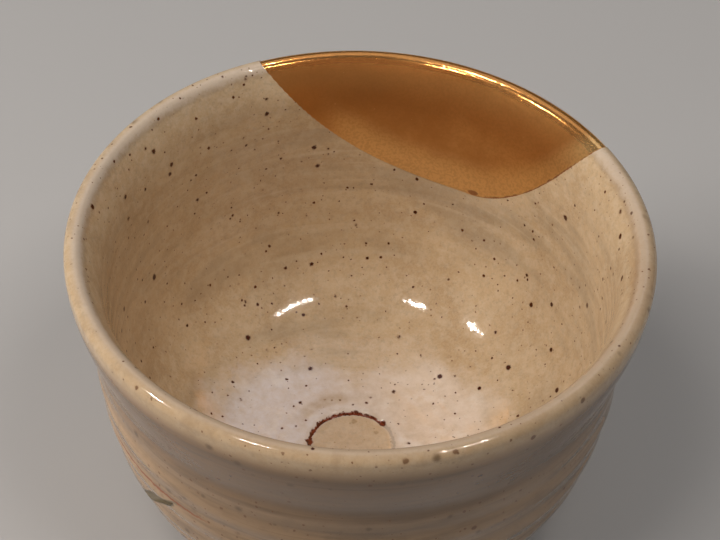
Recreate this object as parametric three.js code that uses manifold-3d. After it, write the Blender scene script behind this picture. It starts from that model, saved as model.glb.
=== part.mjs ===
// A wheel-thrown stoneware tea bowl, with a lost piece of its rim made good in gold lacquer.
// Millimetres, +Z up, origin at the centre of the foot ring's underside, front towards -Y.

import * as THREE from "three";
import { mergeVertices } from "three/addons/utils/BufferGeometryUtils.js";
import Module from "manifold-3d";

// Overall form. Depths are counted down from the lip's crest.
const HEIGHT = 77;
const RIM_RADIUS = 61;
const LIP_RADIUS = 2.1;
const LIP_INNER_ANGLE = 145;

// Collar: the smooth rounded band under the lip, which rolls in softly to the neck.
const COLLAR_CROWN_DEPTH = 3.5;
const NECK_DEPTH = 21.5;
const NECK_RADIUS = 56.2;
const COLLAR_ROUND = 1.5;
const COLLAR_TUCK = 1.2;

// Body: nearly upright below the neck, then round at the hip.
const BASE_RADIUS = 29;
const BODY_ROUND = 2.05;
const HIP_ROUND = 0.385;
const STATION_CROWDING = 1.6;

// Throwing ridges: a shallow spiral up the outside of the body.
const RIDGE_PITCH = 8.5;
const RIDGE_DEPTH = 0.45;
const RIDGE_FADE = 9;

// Foot ring, cut from the thrown base.
const FOOT_HEIGHT = 7;
const FOOT_RADIUS = 27;
const FOOT_WIDTH = 6;
const FOOT_EDGE = 0.8;
const FOOT_TAPER = 0.5;
const FOOT_FILLET = 1.2;
const RECESS_HEIGHT = 5.6;

// Inside: flared under the lip, with a round hip, a nearly flat floor and a small tea well.
const INSIDE_DEPTH = 63.5;
const INSIDE_RADIUS = 52;
const INSIDE_ROUND = 4;
const INSIDE_HIP = 0.3;
const FLARE_DEPTH = 7.4;
const FLOOR_RADIUS = 30;
const WELL_RADIUS = 9.4;
const WELL_DEPTH = 0.7;
const WELL_EDGE = 1;

// Slash: a short diagonal tool cut low on the left of the front.
const SLASH_BEARING = 219;
const SLASH_DEPTH = 45;
const SLASH_LENGTH = 22;
const SLASH_WIDTH = 2.6;
const SLASH_CUT = 1.8;
const SLASH_SLOPE = 38;

// Gold repair: a rounded lens of the wall, hanging from the rim at the back right and steeper on its right.
const REPAIR_BEARING = 62;
const REPAIR_RIGHT_ANGLE = 32;
const REPAIR_LEFT_ANGLE = 51.5;
const REPAIR_DEPTH = 29.6;
const REPAIR_RIGHT_ROUND = 1.85;
const REPAIR_LEFT_ROUND = 2.6;
const REPAIR_GAP = 0.3;
const CUTTER_INNER_RADIUS = 30;
const CUTTER_OUTER_RADIUS = 100;
const CUTTER_RISE = 6;

// Facets.
const SEGMENTS = 68;
const LIP_STEPS = 6;
const COLLAR_STEPS = 7;
const BODY_STEPS = 22;
const WALL_STEPS = 13;
const FLOOR_STEPS = 4;
const REPAIR_STEPS = 34;
const SLASH_STEPS = 16;

const radians = THREE.MathUtils.degToRad;
const wasm = await Module();
wasm.setup();

// Radius of the collar's outside at a depth between its crown and the neck.
function collarRadius(depth) {
  const run = (depth - COLLAR_CROWN_DEPTH) / (NECK_DEPTH - COLLAR_CROWN_DEPTH);
  const drop = THREE.MathUtils.clamp(run, 0, 1) ** COLLAR_ROUND;
  return NECK_RADIUS + (RIM_RADIUS - NECK_RADIUS) * (1 - drop) ** COLLAR_TUCK;
}

// Radius of the body's outside, where run goes from 0 at the neck to 1 at the foot.
function bodyRadius(run) {
  return BASE_RADIUS + (NECK_RADIUS - BASE_RADIUS) * (1 - run ** BODY_ROUND) ** HIP_ROUND;
}

// Radius of the inside at a depth below the lip's inner edge.
function insideRadius(depth, lipEnd) {
  const bowl = INSIDE_RADIUS * (1 - (depth / INSIDE_DEPTH) ** INSIDE_ROUND) ** INSIDE_HIP;
  const flare = lipEnd.x - INSIDE_RADIUS;
  return bowl + flare * Math.exp((lipEnd.depth - depth) / FLARE_DEPTH);
}

// Depth of the inside's floor at a radius.
function floorDepth(radius) {
  const lift = (radius / INSIDE_RADIUS) ** (1 / INSIDE_HIP);
  return INSIDE_DEPTH * (1 - lift) ** (1 / INSIDE_ROUND);
}

// The foot ring's outline, from the axis of its recess out and up to the body.
function footOutline() {
  const inner = FOOT_RADIUS - FOOT_WIDTH;
  const outer = FOOT_RADIUS - FOOT_TAPER;
  return [
    new THREE.Vector2(0, RECESS_HEIGHT),
    new THREE.Vector2(inner - FOOT_TAPER - FOOT_FILLET, RECESS_HEIGHT - FOOT_EDGE / 2),
    new THREE.Vector2(inner - FOOT_TAPER, RECESS_HEIGHT - FOOT_FILLET),
    new THREE.Vector2(inner, FOOT_EDGE),
    new THREE.Vector2(inner + FOOT_EDGE, 0),
    new THREE.Vector2(FOOT_RADIUS - FOOT_EDGE, 0),
    new THREE.Vector2(FOOT_RADIUS, FOOT_EDGE),
    new THREE.Vector2(outer, FOOT_HEIGHT - FOOT_FILLET),
    new THREE.Vector2(outer + FOOT_EDGE, FOOT_HEIGHT - FOOT_EDGE / 2),
  ];
}

// The outside, from the foot up to the lip's outer side.
function outsideOutline() {
  const points = [];
  const bodyDepth = HEIGHT - FOOT_HEIGHT - NECK_DEPTH;
  for (let i = BODY_STEPS; i >= 1; i -= 1) {
    const run = 1 - (1 - i / BODY_STEPS) ** STATION_CROWDING;
    points.push(new THREE.Vector2(bodyRadius(run), HEIGHT - NECK_DEPTH - run * bodyDepth));
  }
  for (let i = COLLAR_STEPS; i >= 1; i -= 1) {
    const depth = THREE.MathUtils.lerp(LIP_RADIUS, NECK_DEPTH, i / COLLAR_STEPS);
    points.push(new THREE.Vector2(collarRadius(depth), HEIGHT - depth));
  }
  return points;
}

// The lip: an arc from its outer side over the crest to its inner side.
function lipOutline() {
  const points = [];
  const centre = RIM_RADIUS - LIP_RADIUS;
  for (let i = 0; i <= LIP_STEPS; i += 1) {
    const angle = radians((LIP_INNER_ANGLE * i) / LIP_STEPS);
    const height = HEIGHT - LIP_RADIUS + LIP_RADIUS * Math.sin(angle);
    points.push(new THREE.Vector2(centre + LIP_RADIUS * Math.cos(angle), height));
  }
  return points;
}

// The inside, from below the lip down the wall and over the floor to the axis.
function insideOutline(lipEdge) {
  const points = [];
  const lipEnd = { x: lipEdge.x, depth: HEIGHT - lipEdge.y };
  const hipDepth = floorDepth(FLOOR_RADIUS);
  for (let i = 1; i < WALL_STEPS; i += 1) {
    const run = 1 - (1 - i / WALL_STEPS) ** STATION_CROWDING;
    const depth = THREE.MathUtils.lerp(lipEnd.depth, hipDepth, run);
    points.push(new THREE.Vector2(insideRadius(depth, lipEnd), HEIGHT - depth));
  }
  for (let i = 0; i <= FLOOR_STEPS; i += 1) {
    const radius = THREE.MathUtils.lerp(FLOOR_RADIUS, WELL_RADIUS + WELL_EDGE, i / FLOOR_STEPS);
    points.push(new THREE.Vector2(radius, HEIGHT - floorDepth(radius)));
  }
  const wellHeight = HEIGHT - floorDepth(WELL_RADIUS) - WELL_DEPTH;
  points.push(new THREE.Vector2(WELL_RADIUS, wellHeight));
  points.push(new THREE.Vector2(0, wellHeight));
  return points;
}

// How far a spiral ridge draws the body's outside in, fading out towards the neck and the hip.
function ridgeRelief(bearing, height) {
  const below = HEIGHT - NECK_DEPTH - height;
  const above = height - FOOT_HEIGHT;
  if (below <= 0 || above <= 0) return 0;
  const fade = Math.min(1, below / RIDGE_FADE, above / RIDGE_FADE);
  const turn = bearing / (2 * Math.PI) + height / RIDGE_PITCH;
  return RIDGE_DEPTH * fade * 0.5 * (1 - Math.cos(2 * Math.PI * turn));
}

// The whole wall as it was thrown, before the loss and the slash.
function thrownWall() {
  const foot = footOutline();
  const outside = outsideOutline();
  const lip = lipOutline();
  const inside = insideOutline(lip.at(-1));
  const outline = [...foot, ...outside, ...lip, ...inside];
  const geometry = new THREE.LatheGeometry(outline, SEGMENTS);
  geometry.rotateX(Math.PI / 2);
  const position = geometry.getAttribute("position");
  const point = new THREE.Vector3();
  for (let i = 0; i < position.count; i += 1) {
    const station = i % outline.length;
    const onBody = station >= foot.length && station < foot.length + outside.length;
    if (!onBody) continue;
    point.fromBufferAttribute(position, i);
    const radius = Math.hypot(point.x, point.y);
    const relief = ridgeRelief(Math.atan2(point.y, point.x), point.z);
    const shrink = (radius - relief) / radius;
    position.setXY(i, point.x * shrink, point.y * shrink);
  }
  return geometry;
}

// Turn from the repair's deepest point, where share goes from -1 at its right end to 1 at its left.
function repairTurn(share, gap) {
  const reach = share < 0 ? REPAIR_RIGHT_ANGLE : REPAIR_LEFT_ANGLE;
  return share * (radians(reach) + gap / RIM_RADIUS);
}

// Depth of the repair's lower edge at the same share.
function repairDepth(share, gap) {
  const roundness = share < 0 ? REPAIR_RIGHT_ROUND : REPAIR_LEFT_ROUND;
  return (REPAIR_DEPTH + gap) * (1 - Math.abs(share) ** roundness);
}

// A block that covers the repair's part of the wall, grown by a gap, bent round the axis.
function repairCutter(gap) {
  const top = HEIGHT + CUTTER_RISE;
  const shape = new THREE.Shape();
  shape.moveTo(repairTurn(-1, gap), top);
  for (let i = 0; i <= REPAIR_STEPS; i += 1) {
    const share = (2 * i) / REPAIR_STEPS - 1;
    shape.lineTo(repairTurn(share, gap), HEIGHT - repairDepth(share, gap));
  }
  shape.lineTo(repairTurn(1, gap), top);
  const depth = CUTTER_OUTER_RADIUS - CUTTER_INNER_RADIUS;
  const geometry = new THREE.ExtrudeGeometry(shape, { depth, bevelEnabled: false });
  const position = geometry.getAttribute("position");
  const point = new THREE.Vector3();
  for (let i = 0; i < position.count; i += 1) {
    point.fromBufferAttribute(position, i);
    const bearing = radians(REPAIR_BEARING) + point.x;
    const radius = CUTTER_INNER_RADIUS + point.z;
    position.setXYZ(i, radius * Math.cos(bearing), radius * Math.sin(bearing), point.y);
  }
  return geometry;
}

// A long thin ellipsoid laid on the wall, which cuts the slash.
function slashCutter() {
  const geometry = new THREE.SphereGeometry(1, SLASH_STEPS, SLASH_STEPS / 2);
  geometry.scale(SLASH_LENGTH / 2, SLASH_WIDTH / 2, SLASH_CUT);
  geometry.rotateZ(radians(SLASH_SLOPE));
  geometry.rotateX(Math.PI / 2);
  geometry.rotateZ(radians(SLASH_BEARING) + Math.PI / 2);
  const run = (SLASH_DEPTH - NECK_DEPTH) / (HEIGHT - FOOT_HEIGHT - NECK_DEPTH);
  const radius = bodyRadius(run);
  const bearing = radians(SLASH_BEARING);
  geometry.translate(radius * Math.cos(bearing), radius * Math.sin(bearing), HEIGHT - SLASH_DEPTH);
  return geometry;
}

// A closed geometry as a solid that can be cut.
function solidOf(geometry) {
  const bare = geometry.clone();
  bare.deleteAttribute("normal");
  bare.deleteAttribute("uv");
  const merged = mergeVertices(bare);
  const vertProperties = new Float32Array(merged.getAttribute("position").array);
  const triVerts = new Uint32Array(merged.index.array);
  return new wasm.Manifold(new wasm.Mesh({ numProp: 3, vertProperties, triVerts }));
}

// A cut solid as a mesh with a name and a finish.
function meshOf(name, solid, material) {
  const cut = solid.getMesh();
  const geometry = new THREE.BufferGeometry();
  geometry.setAttribute("position", new THREE.BufferAttribute(cut.vertProperties, 3));
  geometry.setIndex(new THREE.BufferAttribute(cut.triVerts, 1));
  geometry.computeVertexNormals();
  const mesh = new THREE.Mesh(geometry, material);
  mesh.name = name;
  return mesh;
}

const glaze = new THREE.MeshStandardMaterial({ color: 0xc4ab8c, roughness: 0.28, metalness: 0 });
const goldLacquer = new THREE.MeshStandardMaterial({ color: 0xb8893f, roughness: 0.36, metalness: 1 });

const wall = solidOf(thrownWall());
const repaired = wall.intersect(solidOf(repairCutter(0)));
const broken = wall.subtract(solidOf(repairCutter(REPAIR_GAP)));
const cut = broken.subtract(solidOf(slashCutter()));

const teaBowl = new THREE.Group();
teaBowl.add(meshOf("bowl", cut, glaze));
teaBowl.add(meshOf("gold_rim_repair", repaired, goldLacquer));

export default teaBowl;
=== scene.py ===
"""A wheel-thrown stoneware tea bowl, with a lost piece of its rim made good in gold lacquer.

Sizes in the classes are millimetres and degrees, and meshes are metres in the frame's own axes.
Depths are counted down from the lip's crest, and bearings turn from +X towards +Y.
"""

import logging
import math
from dataclasses import dataclass, field
from enum import Enum

import bpy
import numpy as np
from mathutils import Matrix, Vector


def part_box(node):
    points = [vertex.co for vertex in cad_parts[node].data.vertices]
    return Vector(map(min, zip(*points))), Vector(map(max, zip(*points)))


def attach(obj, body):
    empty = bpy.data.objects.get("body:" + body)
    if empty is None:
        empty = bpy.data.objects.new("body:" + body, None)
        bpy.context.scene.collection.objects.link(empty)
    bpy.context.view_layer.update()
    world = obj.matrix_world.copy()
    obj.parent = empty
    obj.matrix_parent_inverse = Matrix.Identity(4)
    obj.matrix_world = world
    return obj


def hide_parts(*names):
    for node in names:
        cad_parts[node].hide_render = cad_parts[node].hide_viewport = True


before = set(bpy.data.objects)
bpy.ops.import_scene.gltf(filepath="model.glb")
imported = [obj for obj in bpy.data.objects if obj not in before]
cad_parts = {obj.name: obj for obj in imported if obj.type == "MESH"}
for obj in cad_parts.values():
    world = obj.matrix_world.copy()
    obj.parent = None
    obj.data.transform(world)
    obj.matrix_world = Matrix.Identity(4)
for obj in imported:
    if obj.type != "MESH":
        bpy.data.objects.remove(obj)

MM = 0.001
UNPAINTED = "#808080"
MERGE_GAP = 0.01 * MM
SMOOTH_ANGLE = math.radians(40.0)
LOG = logging.getLogger("tea_bowl")

# Short names for types. A fade says where a layer is still absent, and where it is full.
Piece = bpy.types.Object
Socket = bpy.types.NodeSocket
Fade = tuple[float, float]
Outline = list[tuple[float, float]]


class Cut(Enum):
    """What a cutting block leaves of the piece that it meets."""

    OUTSIDE_BLOCK = "DIFFERENCE"
    INSIDE_BLOCK = "INTERSECT"


class LampRole(Enum):
    """What a lamp gives: even soft light, or only what shows in the gloss, as bulbs and cards do."""

    SOFT_BOX = "soft_box"
    BULB = "bulb"


class Zone(Enum):
    """Mesh attributes that tell a finish where on its piece it is."""

    INSIDE = "inside"
    SLASH = "slash"
    EDGE_GAP = "edge_gap"


def linear(colour: str) -> tuple[float, float, float, float]:
    """Turn an sRGB hex colour into a linear one.

    Args:
        colour: Six hex digits after a hash sign.

    Returns:
        Red, green, blue and alpha, ready for a shader socket.
    """
    parts = [int(colour[i : i + 2], 16) / 255 for i in (1, 3, 5)]
    curve = [p / 12.92 if p <= 0.04045 else ((p + 0.055) / 1.055) ** 2.4 for p in parts]
    return (curve[0], curve[1], curve[2], 1.0)


def smooth_step(low: float, high: float, values: np.ndarray) -> np.ndarray:
    """Ease values from 0 at low to 1 at high.

    Args:
        low: Where the result leaves 0.
        high: Where the result reaches 1.
        values: The numbers to ease.

    Returns:
        The eased numbers.
    """
    share = np.clip((values - low) / (high - low), 0.0, 1.0)
    return share * share * (3.0 - 2.0 * share)


def activate(piece: Piece) -> None:
    """Select one object alone and make it the active one.

    Args:
        piece: The object that the next operators act on.
    """
    bpy.ops.object.select_all(action="DESELECT")
    piece.select_set(True)
    bpy.context.view_layer.objects.active = piece


def begin_vertex(name: str, place: Vector) -> Piece:
    """Add a small plane, merge it to one vertex and move that to a place, in edit mode.

    Args:
        name: The new object's name.
        place: Where the vertex goes, in metres.

    Returns:
        The object, left in edit mode with its vertex selected.
    """
    bpy.ops.object.select_all(action="DESELECT")
    bpy.ops.mesh.primitive_plane_add(size=MM, location=(0.0, 0.0, 0.0))
    piece = bpy.context.active_object
    piece.name = name
    bpy.ops.object.mode_set(mode="EDIT")
    bpy.ops.mesh.select_all(action="SELECT")
    bpy.ops.mesh.merge(type="CENTER")
    bpy.ops.transform.translate(value=place)
    return piece


def draw_chain(points: list[Vector]) -> None:
    """Extrude the selected vertex from the first point along the others.

    Args:
        points: The chain's points in order, in metres.
    """
    for here, there in zip(points, points[1:]):
        bpy.ops.mesh.extrude_vertices_move(TRANSFORM_OT_translate={"value": there - here})


def close_mesh(piece: Piece) -> None:
    """Merge doubles, close open ends and turn the faces outwards, then leave edit mode.

    Args:
        piece: The object in edit mode.
    """
    bpy.ops.mesh.select_all(action="SELECT")
    bpy.ops.mesh.remove_doubles(threshold=MERGE_GAP)
    bpy.ops.mesh.fill_holes(sides=0)
    bpy.ops.mesh.select_all(action="SELECT")
    bpy.ops.mesh.normals_make_consistent(inside=False)
    bpy.ops.object.mode_set(mode="OBJECT")
    LOG.debug("%s closed with %d faces", piece.name, len(piece.data.polygons))


def apply_subdivision(piece: Piece, levels: int) -> None:
    """Round a piece with an applied subdivision surface.

    Args:
        piece: The object to round.
        levels: How often each face is split.
    """
    activate(piece)
    bpy.ops.object.modifier_add(type="SUBSURF")
    modifier = piece.modifiers[-1]
    modifier.levels = levels
    modifier.render_levels = levels
    bpy.ops.object.modifier_apply(modifier=modifier.name)


def cut_with(piece: Piece, block: Piece, cut: Cut) -> None:
    """Cut a piece with a block, and remove the block.

    Args:
        piece: The object that is cut.
        block: The closed object that cuts it.
        cut: Which part of the piece stays.
    """
    activate(piece)
    bpy.ops.object.modifier_add(type="BOOLEAN")
    modifier = piece.modifiers[-1]
    modifier.operation = cut.value
    modifier.solver = "EXACT"
    modifier.object = block
    bpy.ops.object.modifier_apply(modifier=modifier.name)
    bpy.data.objects.remove(block, do_unlink=True)


def read_points(piece: Piece) -> np.ndarray:
    """Read a mesh's vertices.

    Args:
        piece: The mesh object.

    Returns:
        One row of x, y and z per vertex, in millimetres.
    """
    points = np.empty(len(piece.data.vertices) * 3)
    piece.data.vertices.foreach_get("co", points)
    return points.reshape(-1, 3) / MM


def write_points(piece: Piece, points: np.ndarray) -> None:
    """Write a mesh's vertices back.

    Args:
        piece: The mesh object.
        points: One row of x, y and z per vertex, in millimetres.
    """
    piece.data.vertices.foreach_set("co", (points * MM).ravel())
    piece.data.update()


def write_zone(piece: Piece, zone: Zone, values: np.ndarray) -> None:
    """Store one number per vertex for the piece's finish to read.

    Args:
        piece: The mesh object.
        zone: The attribute's name.
        values: One number per vertex.
    """
    layer = piece.data.attributes.new(zone.value, "FLOAT", "POINT")
    layer.data.foreach_set("value", values.astype(np.float32))


def finish_piece(piece: Piece, node: str, material: bpy.types.Material) -> None:
    """Smooth a piece, dress it and let it stand for its node.

    Args:
        piece: The finished mesh object.
        node: The node that it replaces.
        material: The piece's finish.
    """
    activate(piece)
    bpy.ops.object.shade_smooth_by_angle(angle=SMOOTH_ANGLE)
    piece.data.materials.clear()
    piece.data.materials.append(material)
    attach(piece, "root")
    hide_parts(node)


@dataclass(frozen=True)
class WallForm:
    """The thrown wall's outline, from which the bowl and its repair are both made."""

    height: float
    rim_radius: float
    lip_radius: float = 2.1
    lip_inner_angle: float = 145.0
    collar_crown_depth: float = 3.5
    neck_depth: float = 21.5
    neck_radius: float = 56.2
    collar_round: float = 1.5
    collar_tuck: float = 1.2
    base_radius: float = 29.0
    body_round: float = 2.05
    hip_round: float = 0.385
    foot_height: float = 7.0
    foot_radius: float = 27.0
    foot_width: float = 6.0
    foot_edge: float = 0.8
    foot_taper: float = 0.5
    foot_fillet: float = 1.2
    recess_height: float = 5.6
    inside_depth: float = 63.5
    inside_radius: float = 52.0
    inside_round: float = 4.0
    inside_hip: float = 0.3
    flare_depth: float = 7.4
    floor_radius: float = 30.0
    well_radius: float = 9.4
    well_depth: float = 0.7
    well_groove: float = 0.35
    well_shift: tuple[float, float] = (-0.7, -0.8)
    well_bearing: float = 113.0
    step_growth: float = 1.4
    crest_blend: float = 0.8
    floor_blend: float = 1.0
    floor_half: float = 4.0
    floor_rise: float = 8.0

    @property
    def body_depth(self) -> float:
        """Return the body's height between the foot and the neck."""
        return self.height - self.foot_height - self.neck_depth

    @property
    def lip_edge(self) -> tuple[float, float]:
        """Find where the lip's arc meets the inside.

        Returns:
            The radius and the depth.
        """
        angle = math.radians(self.lip_inner_angle)
        centre = self.rim_radius - self.lip_radius
        return (centre + self.lip_radius * math.cos(angle), self.lip_radius * (1.0 - math.sin(angle)))

    def outside_radius(self, depth: np.ndarray) -> np.ndarray:
        """Find the outside's radius on the collar and the body.

        Args:
            depth: Depths below the lip's crest.

        Returns:
            The radius at each depth.
        """
        span = self.neck_depth - self.collar_crown_depth
        drop = np.clip((depth - self.collar_crown_depth) / span, 0.0, 1.0) ** self.collar_round
        collar = self.neck_radius + (self.rim_radius - self.neck_radius) * (1.0 - drop) ** self.collar_tuck
        run = np.clip((depth - self.neck_depth) / self.body_depth, 0.0, 1.0)
        swell = (1.0 - run**self.body_round) ** self.hip_round
        body = self.base_radius + (self.neck_radius - self.base_radius) * swell
        return np.where(depth < self.neck_depth, collar, body)

    def inside_radius_at(self, depth: np.ndarray) -> np.ndarray:
        """Find the inside's radius on the wall.

        Args:
            depth: Depths below the lip's crest.

        Returns:
            The radius at each depth.
        """
        edge_radius, edge_depth = self.lip_edge
        run = np.clip(depth / self.inside_depth, 0.0, 1.0)
        bowl = self.inside_radius * (1.0 - run**self.inside_round) ** self.inside_hip
        flare = edge_radius - self.inside_radius
        return bowl + flare * np.exp((edge_depth - depth) / self.flare_depth)

    def floor_depth(self, radius: np.ndarray) -> np.ndarray:
        """Find the inside's depth over the floor.

        Args:
            radius: Distances from the axis.

        Returns:
            The depth at each radius.
        """
        lift = np.clip(radius / self.inside_radius, 0.0, 1.0) ** (1.0 / self.inside_hip)
        return self.inside_depth * (1.0 - lift) ** (1.0 / self.inside_round)

    def foot_outline(self) -> Outline:
        """Trace the foot ring from the axis of its recess out and up to the body.

        Returns:
            Points of radius and height.
        """
        inner = self.foot_radius - self.foot_width
        outer = self.foot_radius - self.foot_taper
        return [
            (0.0, self.recess_height),
            (inner * 0.5, self.recess_height - self.foot_edge * 0.2),
            (inner - self.foot_taper - self.foot_fillet, self.recess_height - self.foot_edge / 2.0),
            (inner - self.foot_taper, self.recess_height - self.foot_fillet),
            (inner, self.foot_edge),
            (inner + self.foot_edge * 0.2, self.foot_edge * 0.2),
            (inner + self.foot_edge, 0.0),
            (self.foot_radius - self.foot_edge, 0.0),
            (self.foot_radius - self.foot_edge * 0.2, self.foot_edge * 0.2),
            (self.foot_radius, self.foot_edge),
            (outer, self.foot_height - self.foot_fillet),
            (outer + self.foot_edge, self.foot_height - self.foot_edge / 2.0),
        ]

    def outside_outline(self, lowest: float, steps: int) -> Outline:
        """Trace the outside upwards to the lip.

        Args:
            lowest: The depth to start from.
            steps: How many stretches the outline has.

        Returns:
            Points of radius and height.
        """
        shares = 1.0 - (1.0 - np.linspace(1.0, 0.0, steps + 1)) ** self.step_growth
        depths = self.lip_radius + (lowest - self.lip_radius) * shares
        radii = self.outside_radius(depths)
        return [(r, self.height - d) for r, d in zip(radii[:-1], depths[:-1])]

    def lip_outline(self, steps: int) -> Outline:
        """Trace the lip's arc from its outer side over the crest to its inner side.

        Args:
            steps: How many stretches the arc has.

        Returns:
            Points of radius and height.
        """
        centre = self.rim_radius - self.lip_radius
        angles = np.radians(np.linspace(0.0, self.lip_inner_angle, steps + 1))
        radii = centre + self.lip_radius * np.cos(angles)
        heights = self.height - self.lip_radius * (1.0 - np.sin(angles))
        return list(zip(radii, heights))

    def inside_outline(self, lowest: float, steps: int) -> Outline:
        """Trace the inside wall down from the lip.

        Args:
            lowest: The depth to end at.
            steps: How many stretches the outline has.

        Returns:
            Points of radius and height.
        """
        first = self.lip_edge[1]
        depths = first + (lowest - first) * np.linspace(0.0, 1.0, steps + 1)[1:]
        return [(r, self.height - d) for r, d in zip(self.inside_radius_at(depths), depths)]

    def floor_outline(self, steps: int) -> Outline:
        """Trace the floor inwards to the axis, with the tea well's cut line and sunk middle.

        Args:
            steps: How many stretches lie outside the well.

        Returns:
            Points of radius and height.
        """
        rim = self.well_radius + 2.0 * self.well_groove
        radii = np.linspace(self.floor_radius, rim, steps + 1)[1:]
        points = [(r, self.height - d) for r, d in zip(radii, self.floor_depth(radii))]
        well = self.height - self.inside_depth - self.well_depth
        points += [
            (self.well_radius + self.well_groove, well),
            (self.well_radius, well - self.well_groove),
            (self.well_radius - self.well_groove, well),
            (self.well_radius - 3.0 * self.well_groove, well + self.well_groove / 2.0),
            (self.well_radius / 2.0, well),
            (0.0, well),
        ]
        return points

    def inside_share(self, points: np.ndarray) -> np.ndarray:
        """Tell how far each point belongs to the inside.

        Args:
            points: Rows of x, y and z.

        Returns:
            1 on the inside, 0 on the outside, and between over the lip's crest.
        """
        radius = np.hypot(points[:, 0], points[:, 1])
        depth = self.height - points[:, 2]
        middle = (self.outside_radius(depth) + self.inside_radius_at(depth)) / 2.0
        on_wall = smooth_step(-self.crest_blend, self.crest_blend, middle - radius)
        above = self.floor_depth(radius) + self.floor_half - depth
        floor = smooth_step(-self.floor_blend, self.floor_blend, above)
        return np.where(depth < self.inside_depth - self.floor_rise, on_wall, floor)


@dataclass(frozen=True)
class ThrowingMarks:
    """The spiral marks that the potter's fingers left, all pressed into the wall."""

    ridge_pitch: float = 8.5
    ridge_depth: float = 0.45
    ridge_fade: float = 9.0
    line_pitch: float = 3.1
    line_depth: float = 0.05
    ring_pitch: float = 6.6
    ring_depth: float = 0.2
    ripple_pitch: float = 2.5
    ripple_depth: float = 0.06
    line_start: Fade = (-1.0, 3.0)
    ring_start: Fade = (4.0, 12.0)
    ring_end: float = 50.0
    floor_start: Fade = (2.0, 8.0)
    lip_dip: float = 0.22
    lip_reach: float = 12.0

    def outside(self, form: WallForm, bearing: np.ndarray, height: np.ndarray) -> np.ndarray:
        """Find how deep the outside is pressed: broad spiral ridges with finer lines on them.

        Args:
            form: The wall.
            bearing: Bearings in radians.
            height: Heights above the foot's underside.

        Returns:
            The depth of the marks.
        """
        below = form.height - form.neck_depth - height
        above = height - form.foot_height
        fade = np.clip(np.minimum(below, above) / self.ridge_fade, 0.0, 1.0)
        turn = bearing / (2.0 * math.pi)
        broad = 0.5 - 0.5 * np.cos(2.0 * math.pi * (turn + height / self.ridge_pitch))
        uneven = 0.55 + 0.45 * np.sin(bearing * 2.0 + height * 0.21)
        fine = 0.5 - 0.5 * np.cos(2.0 * math.pi * (turn + height / self.line_pitch) + 1.8 * uneven)
        near = smooth_step(*self.line_start, np.minimum(below, above))
        return self.ridge_depth * fade * broad + self.line_depth * near * uneven * fine

    def inside(
        self, form: WallForm, bearing: np.ndarray, height: np.ndarray, radius: np.ndarray
    ) -> np.ndarray:
        """Find how deep the inside is pressed: rings on the wall, with ripples that run on over the floor.

        Args:
            form: The wall.
            bearing: Bearings in radians.
            height: Heights above the foot's underside.
            radius: Distances from the axis.

        Returns:
            The depth of the marks.
        """
        depth = form.height - height
        start = smooth_step(*self.ring_start, depth)
        wall = start * smooth_step(form.inside_depth, self.ring_end, depth)
        floor = start * smooth_step(*self.floor_start, radius - form.well_radius)
        turn = bearing / (2.0 * math.pi)
        run = height - radius
        uneven = 0.6 + 0.4 * np.sin(bearing + height * 0.17)
        ring = 0.5 - 0.5 * np.cos(2.0 * math.pi * (turn - run / self.ring_pitch))
        broken = 0.5 + 0.5 * np.sin(bearing * 5.0 + 1.3 * np.sin(bearing * 3.0 + run * 0.4) + run * 0.9)
        ripple = 0.5 - 0.5 * np.cos(2.0 * math.pi * (turn - run / self.ripple_pitch) + broken)
        rings = wall * uneven * self.ring_depth * ring
        return rings + floor * self.ripple_depth * (0.4 + 0.6 * broken) * ripple

    def lip(self, form: WallForm, bearing: np.ndarray, height: np.ndarray) -> np.ndarray:
        """Find how far the lip dips where the potter's fingers left it uneven.

        Args:
            form: The wall.
            bearing: Bearings in radians.
            height: Heights above the foot's underside.

        Returns:
            How far each point sinks.
        """
        near = smooth_step(self.lip_reach, 0.0, form.height - height)
        wave = 0.5 + 0.3 * np.sin(bearing * 2.0 + 0.6) + 0.2 * np.sin(bearing * 7.0 + 1.9)
        return self.lip_dip * near * wave


def turn_outline(
    name: str, outline: Outline, start: float, sweep: float, steps: int
) -> Piece:
    """Spin an outline round the axis.

    Args:
        name: The new object's name.
        outline: Points of radius and height, in millimetres.
        start: The bearing of the outline, in degrees.
        sweep: How far it is turned, in degrees.
        steps: How many stretches the turn has.

    Returns:
        The turned and closed object.
    """
    bearing = math.radians(start)
    across = Vector((math.cos(bearing), math.sin(bearing), 0.0))
    up = Vector((0.0, 0.0, 1.0))
    points = [(across * radius + up * height) * MM for radius, height in outline]
    piece = begin_vertex(name, points[0])
    draw_chain(points)
    bpy.ops.mesh.select_all(action="SELECT")
    bpy.ops.mesh.spin(
        steps=steps, angle=-math.radians(sweep), center=(0.0, 0.0, 0.0), axis=(0.0, 0.0, 1.0)
    )
    close_mesh(piece)
    return piece


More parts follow.
